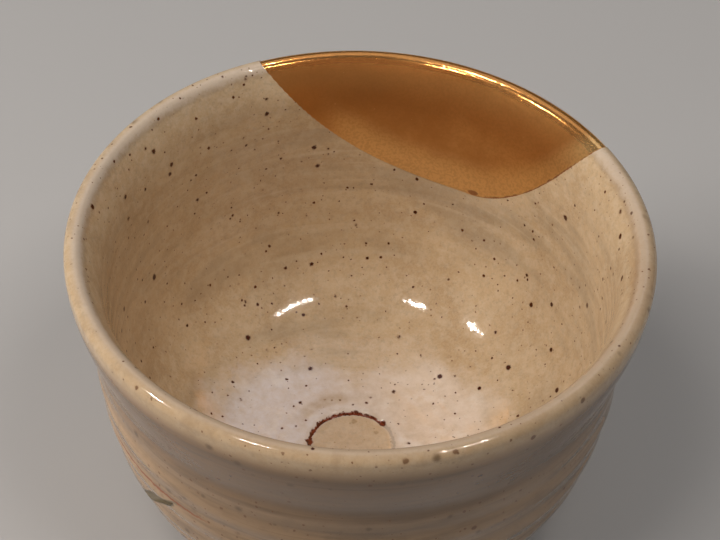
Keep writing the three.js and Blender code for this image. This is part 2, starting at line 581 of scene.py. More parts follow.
@dataclass(frozen=True)
class Slash:
    """A short diagonal tool cut, low on the left of the front."""

    bearing: float = 219.0
    depth: float = 45.0
    length: float = 22.0
    width: float = 2.6
    cut: float = 1.8
    slope: float = 38.0
    line_gap: float = 8.2
    line_lead: float = 2.0
    edge: Fade = (1.25, 1.02)

    def block(self, form: WallForm) -> Piece:
        """Make the long thin ellipsoid that cuts the slash.

        Args:
            form: The wall that it lies on.

        Returns:
            The cutting block.
        """
        bpy.ops.object.select_all(action="DESELECT")
        bpy.ops.mesh.primitive_uv_sphere_add(
            segments=64,
            ring_count=32,
            radius=MM,
            location=self.place(form) * MM,
            rotation=self.lie().to_euler(),
            scale=self.half_sizes,
        )
        return bpy.context.active_object

    @property
    def half_sizes(self) -> tuple[float, float, float]:
        """Return the block's half length, half width and depth."""
        return (self.length / 2.0, self.width / 2.0, self.cut)

    def place(self, form: WallForm) -> Vector:
        """Find the middle of the slash on the wall.

        Args:
            form: The wall that it lies on.

        Returns:
            The place in millimetres.
        """
        bearing = math.radians(self.bearing)
        radius = float(form.outside_radius(np.array([self.depth]))[0])
        return Vector((radius * math.cos(bearing), radius * math.sin(bearing), form.height - self.depth))

    def lie(self) -> Matrix:
        """Turn the block to lie along the slash.

        Returns:
            The turn as a matrix.
        """
        return (
            Matrix.Rotation(math.radians(self.bearing) + math.pi / 2.0, 3, "Z")
            @ Matrix.Rotation(math.pi / 2.0, 3, "X")
            @ Matrix.Rotation(math.radians(self.slope), 3, "Z")
        )

    def share(self, form: WallForm, points: np.ndarray) -> np.ndarray:
        """Tell how far each point lies in the slash.

        Args:
            form: The wall that it lies on.
            points: Rows of x, y and z, in millimetres.

        Returns:
            1 in the slash, fading to 0 a little beyond its edge.
        """
        away = (points - np.array(self.place(form))) @ np.array(self.lie())
        return smooth_step(*self.edge, np.linalg.norm(away / np.array(self.half_sizes), axis=1))


@dataclass(frozen=True)
class RimLoss:
    """The rounded piece that is lost from the rim, at the back right."""

    bearing: float = 62.0
    right_angle: float = 32.0
    left_angle: float = 51.5
    depth: float = 29.6
    right_round: float = 1.85
    left_round: float = 2.6
    steps: int = 96
    inner_radius: float = 40.0
    outer_radius: float = 75.0
    rise: float = 6.0

    def edge_depth(self, share: np.ndarray) -> np.ndarray:
        """Find the depth of the loss's lower edge.

        Args:
            share: Places along the loss, from -1 at its right end over 0 at its deepest to 1 at its left.

        Returns:
            The edge's depth at each place.
        """
        roundness = np.where(share < 0.0, self.right_round, self.left_round)
        return self.depth * (1.0 - np.abs(np.clip(share, -1.0, 1.0)) ** roundness)

    def block(self, form: WallForm) -> Piece:
        """Make the block that covers the loss, bent round the axis.

        Args:
            form: The wall that it stands across.

        Returns:
            The cutting block.
        """
        shares = np.linspace(-1.0, 1.0, self.steps + 1)
        reach = np.where(shares < 0.0, self.right_angle, self.left_angle)
        bearings = np.radians(self.bearing + reach * shares)
        heights = form.height - self.edge_depth(shares)
        points = [
            Vector((self.inner_radius * math.cos(b), self.inner_radius * math.sin(b), z)) * MM
            for b, z in zip(bearings, heights)
        ]
        block = begin_vertex("rim_loss_block", points[0])
        draw_chain(points)
        bpy.ops.mesh.select_all(action="SELECT")
        top = (form.height + self.rise) * MM
        bpy.ops.mesh.extrude_edges_move()
        bpy.ops.transform.resize(value=(1.0, 1.0, 0.0), center_override=(0.0, 0.0, top))
        bpy.ops.mesh.select_all(action="SELECT")
        growth = self.outer_radius / self.inner_radius
        bpy.ops.mesh.extrude_region_move()
        bpy.ops.transform.resize(value=(growth, growth, 1.0), center_override=(0.0, 0.0, 0.0))
        close_mesh(block)
        return block


def add_node(
    tree: bpy.types.NodeTree, kind: str, inputs: dict[str | int, object] | None = None, **settings: object
) -> bpy.types.Node:
    """Add a node with its settings and links.

    Args:
        tree: The material's node tree.
        kind: The node's type name.
        inputs: Values or other nodes' outputs by socket name or index.
        **settings: The node's own properties.

    Returns:
        The new node.
    """
    node = tree.nodes.new(kind)
    for name, value in settings.items():
        setattr(node, name, value)
    for key, value in (inputs or {}).items():
        if isinstance(value, Socket):
            tree.links.new(value, node.inputs[key])
        else:
            node.inputs[key].default_value = value
    return node


@dataclass(frozen=True)
class SpeckSize:
    """One kind of speck: the mean gap between specks, their radii, and their soft edge as a share of that."""

    spacing: float
    smallest: float
    largest: float
    soft: float
    mostly_small: float = 1.6


@dataclass(frozen=True)
class Streaks:
    """One kind of drawn-out streak: its length and width, where it shows, and its finer layers."""

    length: float
    width: float
    fade: Fade
    detail: float = 3.0


@dataclass(frozen=True)
class Veil:
    """One cloudy layer of tint: its clouds' width and finer layers, where it shows and how much."""

    tint: str
    size: float
    detail: float
    rough: float
    fade: Fade
    strength: float


class Brush:
    """A material's node tree with short words for the sums and layers that finishes are made of."""

    def __init__(self, name: str) -> None:
        """Start an empty material with its shader.

        Args:
            name: The material's name.
        """
        self.material = bpy.data.materials.new(name)
        self.material.use_nodes = True
        self.tree = self.material.node_tree
        self.tree.nodes.clear()
        self.shader = add_node(self.tree, "ShaderNodeBsdfPrincipled")
        add_node(self.tree, "ShaderNodeOutputMaterial", {"Surface": self.shader.outputs["BSDF"]})
        place = add_node(self.tree, "ShaderNodeTexCoord").outputs["Object"]
        scaled = add_node(self.tree, "ShaderNodeVectorMath", {0: place, "Scale": 1.0 / MM}, operation="SCALE")
        self.place = scaled.outputs["Vector"]
        parts = add_node(self.tree, "ShaderNodeSeparateXYZ", {0: self.place})
        self.x = parts.outputs["X"]
        self.y = parts.outputs["Y"]
        self.z = parts.outputs["Z"]
        self.bearing = self.sum("ARCTAN2", self.y, self.x)
        self.colour: object = linear(UNPAINTED)

    def sum(self, operation: str, *values: object) -> Socket:
        """Work out one number from others.

        Args:
            operation: The math node's operation.
            *values: Numbers or sockets.

        Returns:
            The result's socket.
        """
        node = add_node(self.tree, "ShaderNodeMath", dict(enumerate(values)), operation=operation)
        return node.outputs["Value"]

    def product(self, *values: object) -> Socket:
        """Multiply numbers.

        Args:
            *values: A socket, and more sockets or numbers.

        Returns:
            The product's socket.
        """
        result = values[0]
        for value in values[1:]:
            result = self.sum("MULTIPLY", result, value)
        return result

    def facing(self, bearing: float, turn: object = None) -> Socket:
        """Find how squarely a place faces a bearing.

        Args:
            bearing: The bearing in degrees.
            turn: The socket of the place's bearing in radians, if it isn't counted round the axis.

        Returns:
            The cosine's socket, 1 where it faces the bearing and -1 opposite it.
        """
        off = self.sum("SUBTRACT", turn or self.bearing, math.radians(bearing))
        return self.sum("COSINE", off)

    def ease(self, value: object, low: float, high: float) -> Socket:
        """Ease a number from 0 at low to 1 at high, where low may be the larger one.

        Args:
            value: The number's socket.
            low: Where the result is 0.
            high: Where the result is 1.

        Returns:
            The eased number's socket.
        """
        turned = low > high
        node = add_node(
            self.tree,
            "ShaderNodeMapRange",
            {
                "Value": value,
                "From Min": min(low, high),
                "From Max": max(low, high),
                "To Min": 1.0 if turned else 0.0,
                "To Max": 0.0 if turned else 1.0,
            },
            interpolation_type="SMOOTHSTEP",
        )
        return node.outputs["Result"]

    def zone(self, zone: Zone) -> Socket:
        """Return the socket of one of the piece's own attributes."""
        return add_node(self.tree, "ShaderNodeAttribute", attribute_name=zone.value).outputs["Fac"]

    def vector(self, x: object, y: object, z: object) -> Socket:
        """Return the socket of a vector made of three numbers."""
        return add_node(self.tree, "ShaderNodeCombineXYZ", {"X": x, "Y": y, "Z": z}).outputs["Vector"]

    def length(self, x: object, y: object) -> Socket:
        """Return the socket of the length of a level vector."""
        level = self.vector(x, y, 0.0)
        return add_node(self.tree, "ShaderNodeVectorMath", {0: level}, operation="LENGTH").outputs["Value"]

    def link(self, socket: str, value: Socket) -> None:
        """Lead a value to one of the shader's sockets."""
        self.tree.links.new(value, self.shader.inputs[socket])

    def bump(self, height: Socket) -> None:
        """Lead a height in millimetres to the shader's normal."""
        node = add_node(self.tree, "ShaderNodeBump", {"Height": height, "Strength": 1.0, "Distance": MM})
        self.link("Normal", node.outputs["Normal"])

    def cloud(self, where: object, size: float, detail: float = 3.0, rough: float = 0.5) -> Socket:
        """Make soft cloudy variation.

        Args:
            where: The place's socket, in millimetres.
            size: The clouds' width in millimetres.
            detail: How many finer layers are added.
            rough: How strong the finer layers are.

        Returns:
            A number's socket, mostly between 0.3 and 0.7.
        """
        node = add_node(
            self.tree,
            "ShaderNodeTexNoise",
            {"Vector": where, "Scale": 1.0 / size, "Detail": detail, "Roughness": rough},
        )
        return node.outputs["Fac"]

    def blend(self, share: object, below: object, above: object) -> Socket:
        """Lay one colour over another.

        Args:
            share: How much of the upper colour shows.
            below: The lower colour.
            above: The upper colour.

        Returns:
            The mixed colour's socket.
        """
        node = add_node(
            self.tree,
            "ShaderNodeMix",
            {"Factor": share, 6: below, 7: above},
            data_type="RGBA",
        )
        return node.outputs[2]

    def specks(self, where: object, size: SpeckSize) -> Socket:
        """Scatter round specks of many sizes.

        Args:
            where: The place's socket, in millimetres.
            size: How large the specks are, and how far apart.

        Returns:
            A number's socket, 1 in a speck.
        """
        cells = add_node(
            self.tree, "ShaderNodeTexVoronoi", {"Vector": where, "Scale": 1.0 / size.spacing}, feature="F1"
        )
        chance = add_node(self.tree, "ShaderNodeSeparateColor", {0: cells.outputs["Color"]}).outputs[0]
        share = self.sum("POWER", chance, size.mostly_small)
        radius = self.sum("MULTIPLY_ADD", share, size.largest - size.smallest, size.smallest)
        distance = self.product(cells.outputs["Distance"], size.spacing)
        gap = self.sum("SUBTRACT", radius, distance)
        return self.ease(self.sum("DIVIDE", gap, self.product(radius, size.soft)), 0.0, 1.0)

    def streaks(self, level: object, streaks: Streaks) -> Socket:
        """Draw cloudy streaks out along the throwing turns.

        Args:
            level: The socket of the height across the streaks, in millimetres.
            streaks: The streaks' sizes.

        Returns:
            A number's socket, 1 in a streak.
        """
        x = self.sum("DIVIDE", self.x, streaks.length)
        y = self.sum("DIVIDE", self.y, streaks.length)
        place = self.vector(x, y, self.sum("DIVIDE", level, streaks.width))
        return self.ease(self.cloud(place, 1.0, streaks.detail), *streaks.fade)

    def lay(self, share: object, above: object) -> None:
        """Lay a colour over the colour so far."""
        self.colour = self.blend(share, self.colour, above)

    def coat(self, tint: str, *shares: object) -> None:
        """Lay a tint over the colour so far.

        Args:
            tint: The tint, as sRGB hex.
            *shares: Numbers or sockets, whose product is how much of the tint shows.
        """
        self.lay(self.product(*shares), linear(tint))

    def veil(self, veil: Veil, *shares: object) -> None:
        """Lay a cloudy tint over the colour so far.

        Args:
            veil: The tint and its clouds.
            *shares: More numbers or sockets that limit it.
        """
        clouds = self.ease(self.cloud(self.place, veil.size, veil.detail, veil.rough), *veil.fade)
        self.coat(veil.tint, clouds, *shares, veil.strength)

    def between(self, value: object, rise: Fade, fall: Fade) -> Socket:
        """Return the socket of a number that is 1 between a rise and a fall."""
        return self.product(self.ease(value, *rise), self.ease(value, *fall))


class WallBrush(Brush):
    """A brush that also knows where on the bowl's wall it is."""

    def __init__(self, name: str, height: float) -> None:
        """Start a material for a wall.

        Args:
            name: The material's name.
            height: The height of the lip's crest, in millimetres.
        """
        super().__init__(name)
        self.inside = self.zone(Zone.INSIDE)
        self.outside = self.sum("SUBTRACT", 1.0, self.inside)
        self.radius = self.length(self.x, self.y)
        self.depth = self.sum("SUBTRACT", height, self.z)


@dataclass(frozen=True)
class SpeckledGlaze:
    """Buff feldspar glaze, dipped over iron-bearing stoneware and fired to a glassy coat."""

    # A glass coat with crisp small highlights. Its buff is softly mottled, paler over the lip where it pulls
    # thin and where a sheen is painted, milky on the floor where it lies thick, under a painted reflection
    # and lamp light, and iron from the clay bleeds through it as brown specks.
    name: str = "buff_dipped_stoneware_glaze"
    cream: str = "#cfb592"
    buff: str = "#bea27e"
    sugar: str = "#dbc8ad"
    smoke: str = "#9c8c76"
    crest: str = "#d2c4b6"
    collar: str = "#84603c"
    lip_shade_tan: str = "#a58a6c"
    left_wall_shade: str = "#a07a48"
    ridge: str = "#be9c78"
    hollow: str = "#7c6650"
    slate: str = "#716254"
    cut_olive_and_shade: str = "#625d4c"
    umber: str = "#5a432c"
    lilac_reflection: str = "#e2dcde"
    blush_lamp_light: str = "#e8d8c8"
    milk_and_reflection: str = "#ece4dc"
    iron: str = "#441a05"
    brown: str = "#57290c"
    tawny: str = "#6a3e1c"
    rust: str = "#7c3418"
    red_line: str = "#8b4526"
    halo: str = "#966636"
    stain: str = "#b0946a"
    clay: str = "#9a7350"

    # Gloss: a glassy coat, a little uneven, over bare clay at the foot.
    roughness: float = 0.08
    rough_cloud: float = 9.0
    rough_swing: float = 0.1
    speck_roughness: float = 0.15
    clay_roughness: float = 0.75
    ior: float = 1.52
    clay_edge: Fade = (4.2, 3.2)
    clay_waver: float = -3.0
    clay_grit: Fade = (0.35, 0.7)
    grit_size: float = 1.1

    # Relief: orange-peel dimples on low swells, pulled taut over the lip.
    dimple_size: float = 1.4
    dimple_rise: float = 0.036
    swell_size: float = 3.8
    swell_rise: float = 0.06
    taut_edge: Fade = (2.0, 8.0)
    taut_least: float = 0.08

    # The glaze's own colour.
    mottle_size: float = 15.0
    mottle_fade: Fade = (0.32, 0.68)
    flecks: Veil = Veil(sugar, 2.6, 4.0, 0.65, (0.42, 0.66), 0.4)
    grain: Veil = Veil(smoke, 1.1, 3.0, 0.7, (0.48, 0.68), 0.3)
    dust: Veil = Veil(sugar, 0.5, 2.0, 0.7, (0.4, 0.62), 0.22)

    # Inside wall: streaks along the throwing turns, with painted shade on the left in a warm darker tone.
    wall_start: Fade = (5.0, 16.0)
    pale_streaks: Streaks = Streaks(30.0, 1.2, (0.54, 0.74))
    floor_reflection_strength: float = 0.22
    dull_streaks: Streaks = Streaks(30.0, 4.8, (0.5, 0.3))
    dull_strength: float = 0.42
    left_wall_shade_bearing: float = 140.0
    left_wall_shade_fade: Fade = (0.0, 0.8)
    left_wall_shade_end: Fade = (56.0, 46.0)
    left_wall_shade_strength: float = 0.26

    # Outside: tan ridges, grey hollows, brown lines, and painted shade: brown on the down-turned collar, grey
    # in the neck, brown to the front.
    body_start: Fade = (2.8, 7.0)
    ridge_strength: float = 0.85
    collar_shade_end: Fade = (26.0, 20.0)
    collar_shade_strength: float = 0.76
    neck_shade_above: Fade = (15.0, 21.0)
    neck_shade_below: Fade = (26.0, 21.5)
    neck_shade_strength: float = 0.3
    band_lean: float = 0.015
    bands: Streaks = Streaks(80.0, 4.2, (0.36, 0.64))
    band_least: float = 0.15
    band_hollow: float = 0.25
    smears: Streaks = Streaks(16.0, 2.4, (0.48, 0.66))
    smear_strength: float = 0.45
    brown_lines: Streaks = Streaks(80.0, 1.512, (0.5, 0.75), 2.0)
    line_strength: float = 0.2
    front_shade_bearing: float = 288.0
    front_shade_fade: Fade = (0.15, 0.85)
    front_shade_strength: float = 0.5
    cool_size: float = 26.0
    cool_fade: Fade = (0.45, 0.65)
    patches: Veil = Veil(hollow, 5.0, 4.0, 0.65, (0.5, 0.7), 0.3)

    # Lip: a pale crest, partly where the glaze pulls thin and partly painted sheen, a frayed dark line under
    # it, and painted shade in tan from the front to the right.
    fray_size: float = 1.7
    fray_reach: float = 2.2
    under_crest: Fade = (1.8, 2.5)
    under_end: Fade = (3.8, 2.7)
    under_strength: float = 0.22
    crest_thin_and_sheen_end: Fade = (3.4, 1.4)
    crest_thin_and_sheen_radius: Fade = (60.8, 57.2)
    crest_thin_and_sheen_strength: float = 0.75
    lip_shade_bearing: float = 295.0
    lip_shade_fade: Fade = (-0.3, 0.6)
    lip_shade_end: Fade = (8.0, 4.0)
    lip_shade_radius: Fade = (55.0, 57.0)
    lip_shade_strength: float = 0.5

    # Floor: a milky pool, wider to the sides, with a painted reflection and painted lamp light over the thick
    # glaze.
    pool_edge: Fade = (29.5, 19.5)
    pool_sideways: float = -15.0
    pool_fray: float = 14.0
    pool_fray_size: float = 7.0
    pool_depth: Fade = (52.0, 58.0)
    pool_sides: Fade = (-16.0, 16.0)
    pool_least: float = 0.15
    pool_swing: float = 1.2
    pool_cloud: float = 2.4
    wisps: Veil = Veil(milk_and_reflection, 5.0, 5.0, 0.7, (0.52, 0.68), 0.45)

    # Tea well: a buff middle in a thin ring, rusty round the back and knotted at its ends.
    floor_depth: Fade = (57.0, 60.0)
    middle_edge: Fade = (0.3, -1.2)
    middle_strength: float = 0.75
    ring_back: float = 113.0
    ring_reach: Fade = (0.3, 0.36)
    ring_ends: tuple[float, float] = (44.0, 177.0)
    ring_edge: Fade = (-0.12, 0.14)
    ring_thick: float = 0.8
    ring_waver: float = 0.8
    ring_shadow: float = 0.3
    waver_size: float = 1.7
    char_size: float = 0.8
    char_fade: Fade = (0.48, 0.58)
    char_strength: float = 0.75
    knot_edge: Fade = (0.5, 0.2)
    trail_bearing: float = 122.0
    trail_reach: Fade = (0.82, 0.98)
    trail_near: Fade = (2.2, 3.4)
    trail_far: Fade = (6.6, 4.6)
    trail_strength: float = 0.8

    # Slash: dark olive in the cut, partly the glaze's own tone and partly painted shade, with a red line of
    # iron above it.
    red_waver: float = 1.2
    red_edge: Fade = (0.42, 0.12)
    red_reach: Fade = (0.95, 0.98)
    red_strength: float = 0.85
    cut_olive_and_shade_edge: Fade = (0.35, 0.95)
    cut_olive_and_shade_strength: float = 0.8

    # Iron specks, small and large, with rusty halos, soft freckles outside and a crowd along the lip.
    jitter_scale: float = 1.8
    jitter_reach: tuple[float, float, float] = (0.4, 0.4, 0.6)
    fine_specks: SpeckSize = SpeckSize(1.7, 0.12, 0.32, 0.6)
    fine_strength: float = 0.8
    small_specks: SpeckSize = SpeckSize(2.6, 0.22, 0.5, 0.5)
    large_specks: SpeckSize = SpeckSize(5.0, 0.36, 0.86, 0.4)
    halos: SpeckSize = SpeckSize(5.0, 0.54, 1.2, 0.9)
    halo_strength: float = 0.5
    freckles: SpeckSize = SpeckSize(5.4, 0.55, 1.5, 0.8)
    freckle_strength: float = 0.7
    edge_specks: SpeckSize = SpeckSize(3.0, 0.3, 0.7, 0.6)
    edge_top: Fade = (0.3, 0.8)
    edge_end: Fade = (3.0, 1.6)
    edge_strength: float = 0.8
    outside_strength: float = 0.6

    def material(self, form: WallForm, marks: ThrowingMarks, slash: Slash) -> bpy.types.Material:
        """Make the glaze for a wall.

        Args:
            form: The wall, whose heights place the zones.
            marks: The throwing marks, in whose hollows the glaze lies thicker.
            slash: The tool cut, above which an iron line runs.

        Returns:
            The finished material.
        """
        brush = WallBrush(self.name, form.height)
        wander = brush.cloud(brush.place, self.mottle_size, 5.0, 0.6)
        self.mottled(brush, wander)
        buff = brush.colour
        self.streaked(brush)
        self.banded(brush, marks)
        self.lipped(brush)
        self.pooled(brush)
        specks = self.peppered(brush)
        self.welled(brush, buff, form)
        self.slashed(brush, slash)

        clay = brush.ease(brush.sum("MULTIPLY_ADD", wander, self.clay_waver, brush.z), *self.clay_edge)
        grit = brush.ease(brush.cloud(brush.place, self.grit_size, 4.0, 0.7), *self.clay_grit)
        brush.lay(clay, brush.blend(grit, linear(self.umber), linear(self.clay)))
        brush.link("Base Color", brush.colour)

        clouds = brush.cloud(brush.place, self.rough_cloud)
        glassy = self.roughness - self.rough_swing / 2.0
        uneven = brush.sum("MULTIPLY_ADD", clouds, self.rough_swing, glassy)
        speckled = brush.sum("MULTIPLY_ADD", specks, self.speck_roughness, uneven)
        brush.link("Roughness", brush.sum("MAXIMUM", speckled, brush.product(clay, self.clay_roughness)))
        brush.shader.inputs["IOR"].default_value = self.ior

        swell = brush.product(brush.cloud(brush.place, self.swell_size, 2.0), self.swell_rise)
        dimples = brush.cloud(brush.place, self.dimple_size, 2.0)
        relief = brush.sum("MULTIPLY_ADD", dimples, self.dimple_rise, swell)
        below_lip = brush.ease(brush.depth, *self.taut_edge)
        taut = brush.sum("MULTIPLY_ADD", below_lip, 1.0 - self.taut_least, self.taut_least)
        brush.bump(brush.product(relief, taut))
        return brush.material

    def mottled(self, brush: WallBrush, wander: Socket) -> None:
        """Mix the glaze's own colour: broad mottling, sugary flecks and a fine smoky grain.

        Args:
            brush: The material in hand.
            wander: The broad mottling.
        """
        brush.colour = linear(self.buff)
        brush.coat(self.cream, brush.ease(wander, *self.mottle_fade))
        for veil in (self.flecks, self.grain, self.dust):
            brush.veil(veil)

    def streaked(self, brush: WallBrush) -> None:
        """Draw the pale and smoky streaks that follow the throwing turns inside, and paint shade on the left
        side.

        Args:
            brush: The material in hand.
        """
        run = brush.sum("ADD", brush.radius, brush.depth)
        wall = brush.product(brush.inside, brush.ease(brush.depth, *self.wall_start))
        dull = brush.streaks(run, self.dull_streaks)
        brush.coat(self.smoke, dull, wall, self.dull_strength)
        # Painted shade: the inside of the left wall is darkened and warmed where the left rim shades it.
        left = brush.ease(brush.facing(self.left_wall_shade_bearing), *self.left_wall_shade_fade)
        above = brush.ease(brush.depth, *self.left_wall_shade_end)
        brush.coat(self.left_wall_shade, left, above, wall, self.left_wall_shade_strength)
        pale = brush.streaks(run, self.pale_streaks)
        brush.coat(self.sugar, pale, wall, self.floor_reflection_strength)

    def banded(self, brush: WallBrush, marks: ThrowingMarks) -> None:
        """Tint the outside: tan on the ridges, grey in the hollows, brown in lines, and painted shade on the
        down-turned collar, in the neck and to the front.

        Args:
            brush: The material in hand.
            marks: The throwing marks.
        """
        body = brush.product(brush.outside, brush.ease(brush.depth, *self.body_start))
        collar = brush.ease(brush.depth, *self.collar_shade_end)
        brush.coat(self.ridge, body, self.ridge_strength)
        # Painted shade: the collar is browned and darkened where it turns down into the neck.
        brush.coat(self.collar, body, collar, self.collar_shade_strength)

        turn = brush.sum("MULTIPLY_ADD", brush.z, 2.0 * math.pi / marks.ridge_pitch, brush.bearing)
        sunk = brush.sum("MULTIPLY_ADD", brush.sum("COSINE", turn), -0.5, 0.5)
        hollows = brush.sum("MULTIPLY_ADD", sunk, self.band_hollow, self.band_least)
        cool = brush.ease(brush.cloud(brush.place, self.cool_size, 2.0), *self.cool_fade)
        shade = brush.blend(cool, linear(self.hollow), linear(self.slate))
        level = brush.sum("MULTIPLY_ADD", brush.x, self.band_lean, brush.depth)
        brush.lay(brush.product(hollows, brush.streaks(level, self.bands), body), shade)
        brush.lay(brush.product(brush.streaks(level, self.smears), self.smear_strength, body), shade)

        lines = brush.product(brush.streaks(level, self.brown_lines), self.line_strength)
        # Painted shade: umber is laid on more towards the front, together with the brown lines.
        front = brush.ease(brush.facing(self.front_shade_bearing), *self.front_shade_fade)
        front_shade_and_lines = brush.sum("MULTIPLY_ADD", front, self.front_shade_strength, lines)
        brush.coat(self.umber, front_shade_and_lines, body)
        # Painted shade: a grey band in the neck under the collar.
        neck = brush.between(brush.depth, self.neck_shade_above, self.neck_shade_below)
        brush.lay(brush.product(neck, brush.outside, self.neck_shade_strength), shade)

    def lipped(self, brush: WallBrush) -> None:
        """Dull the outside in patches, whiten the crest's inner half, partly as painted sheen, and paint
        shade in tan on the lip from front to right.

        Args:
            brush: The material in hand.
        """
        brush.veil(self.patches, brush.outside)
        fray = brush.cloud(brush.place, self.fray_size, 4.0, 0.7)
        frayed = brush.sum("MULTIPLY_ADD", fray, self.fray_reach, brush.depth)
        under = brush.between(frayed, self.under_crest, self.under_end)
        brush.coat(self.umber, under, brush.inside, self.under_strength)
        # Partly painted sheen: the crest's inner half is whitened, where the glaze also pulls thin.
        inner = brush.ease(brush.radius, *self.crest_thin_and_sheen_radius)
        brush.coat(self.crest, brush.ease(frayed, *self.crest_thin_and_sheen_end), inner, self.crest_thin_and_sheen_strength)
        # Painted shade: the lip's outer side is tanned and darkened from the front to the right.
        aside = brush.ease(brush.facing(self.lip_shade_bearing), *self.lip_shade_fade)
        high = brush.ease(brush.depth, *self.lip_shade_end)
        outer = brush.ease(brush.radius, *self.lip_shade_radius)
        brush.coat(self.lip_shade_tan, aside, high, outer, self.lip_shade_strength)

    def pooled(self, brush: WallBrush) -> None:
        """Make the glaze milky where it pooled on the floor, with a painted reflection in lilac to the left
        and painted lamp light in blush to the right.

        Args:
            brush: The material in hand.
        """
        off_axis = brush.sum("MAXIMUM", brush.radius, 1.0)
        sideways = brush.sum("DIVIDE", brush.sum("ABSOLUTE", brush.x), off_axis)
        reach = brush.sum("MULTIPLY_ADD", sideways, self.pool_sideways, brush.radius)
        fray = brush.cloud(brush.place, self.pool_fray_size, 5.0, 0.65)
        near = brush.ease(brush.sum("MULTIPLY_ADD", fray, self.pool_fray, reach), *self.pool_edge)
        pool = brush.product(near, brush.ease(brush.depth, *self.pool_depth), brush.inside)
        clouds = brush.cloud(brush.place, self.pool_cloud, 4.0, 0.7)
        thick = brush.sum("MULTIPLY_ADD", clouds, self.pool_swing, self.pool_least)
        # Painted reflection in lilac to the left, and painted lamp light in blush to the right.
        milk_and_reflection = brush.blend(brush.ease(brush.x, *self.pool_sides), linear(self.lilac_reflection), linear(self.blush_lamp_light))
        brush.lay(brush.product(pool, thick), milk_and_reflection)
        brush.veil(self.wisps, pool)

    def peppered(self, brush: WallBrush) -> Socket:
        """Pepper the glaze with iron, sharp inside, soft outside and thickest along the lip's inner edge.

        Args:
            brush: The material in hand.

        Returns:
            The socket of the dark specks' share.
        """
        jitter = add_node(
            brush.tree,
            "ShaderNodeTexNoise",
            {"Vector": brush.place, "Scale": self.jitter_scale, "Detail": 2.0},
        ).outputs["Color"]
        shifted = add_node(
            brush.tree,
            "ShaderNodeVectorMath",
            {0: jitter, 1: self.jitter_reach, 2: brush.place},
            operation="MULTIPLY_ADD",
        ).outputs["Vector"]
        brush.coat(self.halo, brush.specks(shifted, self.halos), self.halo_strength)
        brush.coat(self.tawny, brush.specks(shifted, self.fine_specks), self.fine_strength)
        soft = brush.product(brush.specks(shifted, self.freckles), brush.outside)
        brush.coat(self.umber, soft, self.freckle_strength)

        sharp = brush.sum("MULTIPLY_ADD", brush.inside, 1.0 - self.outside_strength, self.outside_strength)
        small = brush.specks(shifted, self.small_specks)
        brush.coat(self.brown, small, sharp)
        lip = brush.between(brush.depth, self.edge_top, self.edge_end)
        edge = brush.product(brush.specks(shifted, self.edge_specks), lip, brush.inside, self.edge_strength)
        dark = brush.sum("MAXIMUM", brush.specks(shifted, self.large_specks), edge)
        brush.coat(self.iron, dark, sharp)
        return brush.sum("MAXIMUM", small, dark)

    def welled(self, brush: WallBrush, buff: Socket, form: WallForm) -> None:
        """Draw the tea well: its buff middle, the stain behind it and the rust in its cut.

        Args:
            brush: The material in hand.
            buff: The glaze's own colour.
            form: The wall.
        """
        waver = brush.cloud(brush.place, self.waver_size, 3.0, 0.6)
        floor = brush.product(brush.ease(brush.depth, *self.floor_depth), brush.inside)
        across = brush.sum("SUBTRACT", brush.x, form.well_shift[0])
        along = brush.sum("SUBTRACT", brush.y, form.well_shift[1])
        off = brush.sum("SUBTRACT", brush.length(across, along), form.well_radius)
        turn = brush.sum("ARCTAN2", along, across)
        middle = brush.product(brush.ease(off, *self.middle_edge), floor, self.middle_strength)
        brush.lay(middle, buff)

        trail = brush.ease(brush.facing(self.trail_bearing, turn), *self.trail_reach)
        stain = brush.between(off, self.trail_near, self.trail_far)
        brush.coat(self.stain, stain, trail, floor, waver, self.trail_strength)

        patchy = brush.cloud(brush.place, self.char_size, 1.0)
        aside = brush.sum("MULTIPLY_ADD", waver, self.ring_waver, -self.ring_waver / 2.0)
        gap = brush.sum("ABSOLUTE", brush.sum("SUBTRACT", off, aside))
        ring = brush.sum("SUBTRACT", brush.product(patchy, self.ring_thick), gap)
        ring = brush.product(brush.ease(ring, *self.ring_edge), floor)
        brush.coat(self.slate, ring, self.ring_shadow)
        rust = brush.product(ring, brush.ease(brush.facing(self.ring_back, turn), *self.ring_reach))
        for end in map(math.radians, self.ring_ends):
            knot_x = brush.sum("SUBTRACT", across, form.well_radius * math.cos(end))
            knot_y = brush.sum("SUBTRACT", along, form.well_radius * math.sin(end))
            knot = brush.sum("MULTIPLY_ADD", waver, -self.ring_waver, brush.length(knot_x, knot_y))
            rust = brush.sum("MAXIMUM", rust, brush.product(brush.ease(knot, *self.knot_edge), floor))
        brush.coat(self.rust, rust)
        brush.coat(self.iron, rust, brush.ease(patchy, *self.char_fade), self.char_strength)

    def slashed(self, brush: WallBrush, slash: Slash) -> None:
        """Darken the slash in dark olive, partly as painted shade in the cut, and draw the red line above it.

        Args:
            brush: The material in hand.
            slash: The tool cut.
        """
        waver = brush.cloud(brush.place, self.waver_size, 3.0, 0.6)
        level = brush.sum("MULTIPLY_ADD", waver, self.red_waver, slash.depth - slash.line_gap)
        off = brush.sum("ABSOLUTE", brush.sum("SUBTRACT", brush.depth, level))
        stretch = brush.ease(brush.facing(slash.bearing + slash.line_lead), *self.red_reach)
        outer = brush.sum("SUBTRACT", self.red_strength, brush.inside)
        brush.coat(self.red_line, brush.ease(off, *self.red_edge), stretch, outer)
        # Partly painted shade: the cut is darkened in dark olive.
        cut = brush.ease(brush.zone(Zone.SLASH), *self.cut_olive_and_shade_edge)
        brush.coat(self.cut_olive_and_shade, cut, self.cut_olive_and_shade_strength)


